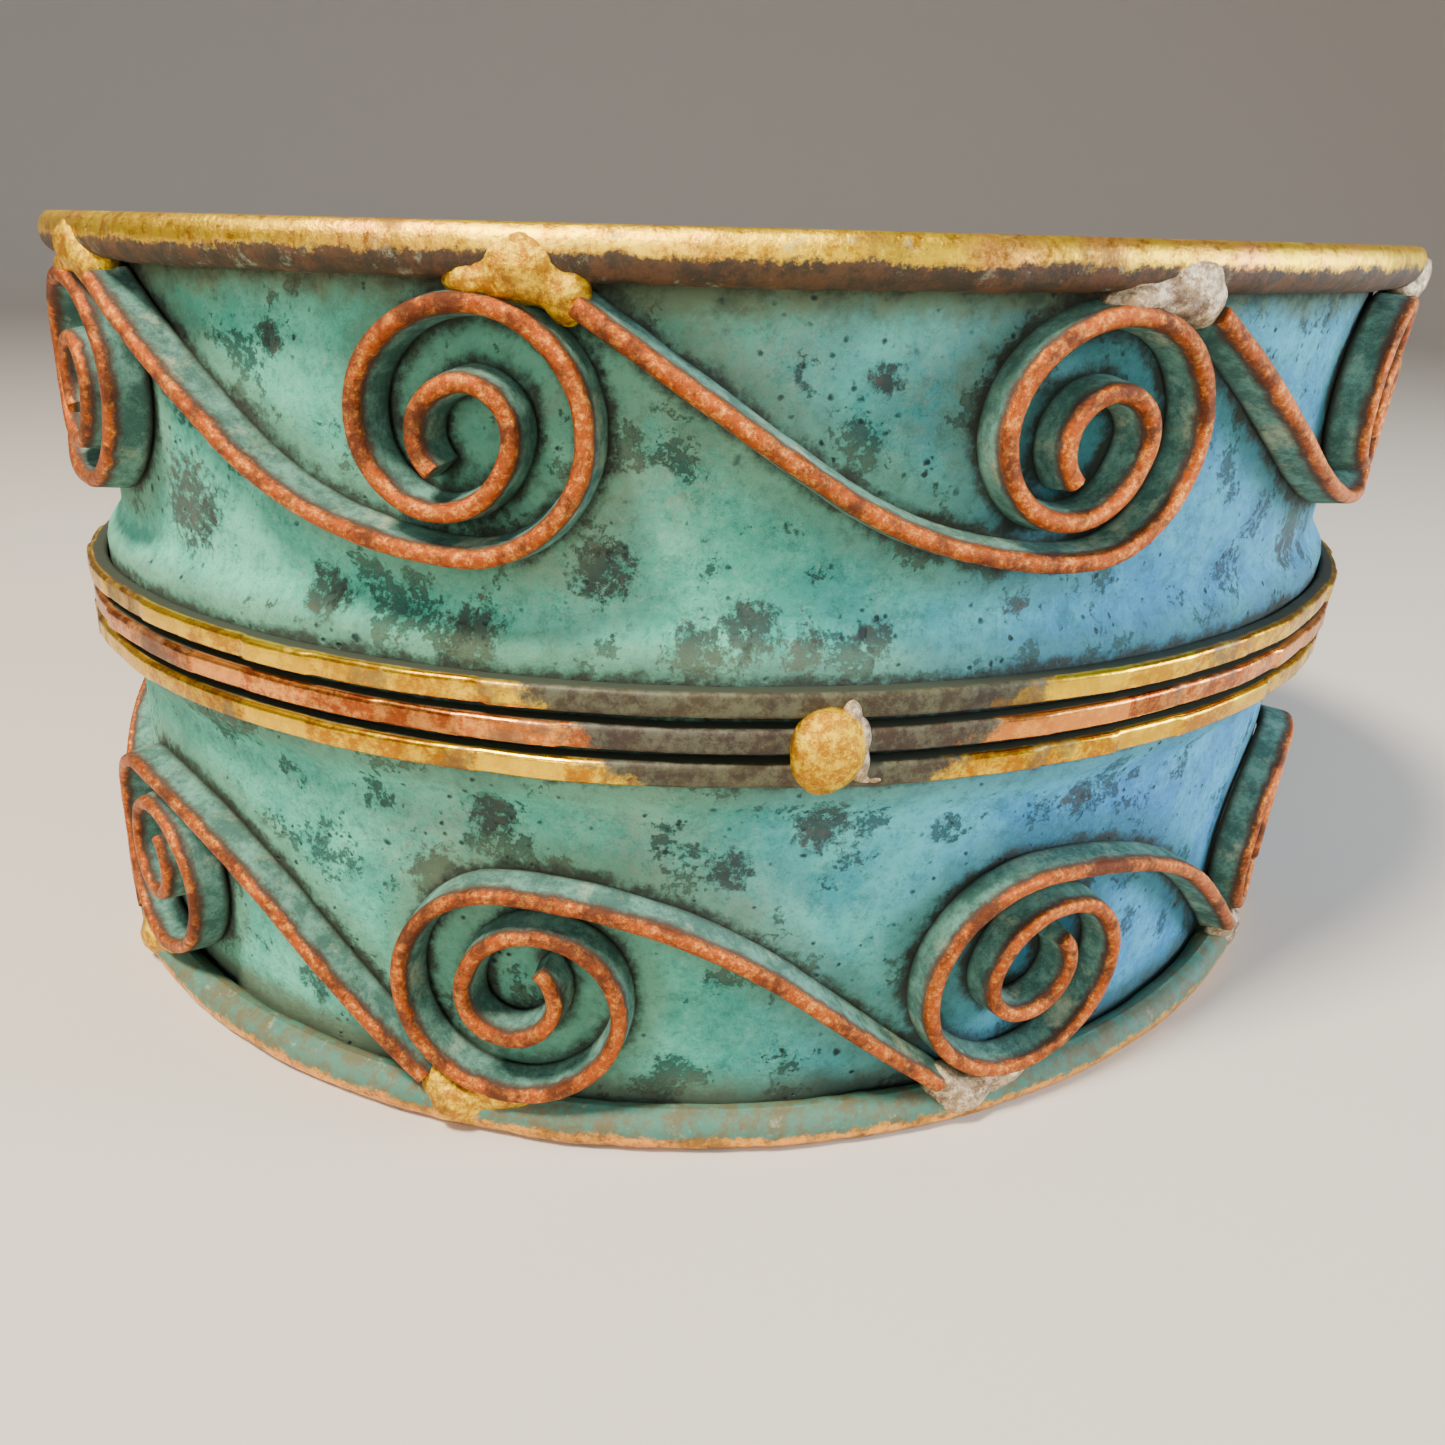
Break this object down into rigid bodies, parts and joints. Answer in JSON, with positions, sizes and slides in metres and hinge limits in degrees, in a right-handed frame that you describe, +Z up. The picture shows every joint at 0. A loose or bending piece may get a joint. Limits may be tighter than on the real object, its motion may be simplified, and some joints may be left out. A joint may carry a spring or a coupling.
{
  "type": "cuff bracelet",
  "caption": "Open oval cuff bracelet: patinated copper band edged in round wire, with soldered scrolls, a raised middle ridge, flat brass and copper wires and a bead.",
  "frame": {"origin": "on the surface it stands on, under the middle of its bounding box", "axes": "+Z up along the band's height, -Y out of the front with the bead, the opening for the wrist at +Y, +X to the right seen from the front"},
  "size_m": [0.068, 0.0564, 0.0353],
  "materials": {
    "band_copper": "turquoise patina over hammered copper sheet, matt, with dark pits and brown blotches",
    "rim_copper": "brown oxidised copper wire, rubbed to a gold sheen along its crown",
    "scroll_copper": "copper wire, polished crest, green and cream patina down its sides",
    "brass_wire": "flat brass wire with planished facets, dark in its recesses",
    "brass_bead": "satin brass nugget",
    "solder": "lumpy solder, gold to silver grey, satin"
  },
  "bodies": {
    "root": {"band_sheet": "band_copper", "top_rim_wire": "rim_copper", "bottom_rim_wire": "rim_copper", "left_end_strip": "rim_copper", "right_end_strip": "rim_copper", "upper_brass_wire": "brass_wire", "middle_copper_wire": "scroll_copper", "lower_brass_wire": "brass_wire", "centre_bead": "brass_bead", "top_scroll_1": "scroll_copper", "top_scroll_2": "scroll_copper", "top_scroll_3": "scroll_copper", "top_scroll_4": "scroll_copper", "top_scroll_5": "scroll_copper", "top_scroll_6": "scroll_copper", "top_scroll_7": "scroll_copper", "top_solder_joint_1": "solder", "top_solder_joint_2": "solder", "top_solder_joint_3": "solder", "top_solder_joint_4": "solder", "top_solder_joint_5": "solder", "top_solder_joint_6": "solder", "top_solder_joint_7": "solder", "top_solder_joint_8": "solder", "bottom_scroll_1": "scroll_copper", "bottom_scroll_2": "scroll_copper", "bottom_scroll_3": "scroll_copper", "bottom_scroll_4": "scroll_copper", "bottom_scroll_5": "scroll_copper", "bottom_scroll_6": "scroll_copper", "bottom_scroll_7": "scroll_copper", "bottom_solder_joint_1": "solder", "bottom_solder_joint_2": "solder", "bottom_solder_joint_3": "solder", "bottom_solder_joint_4": "solder", "bottom_solder_joint_5": "solder", "bottom_solder_joint_6": "solder", "bottom_solder_joint_7": "solder", "bottom_solder_joint_8": "solder"}
  },
  "joints": []
}
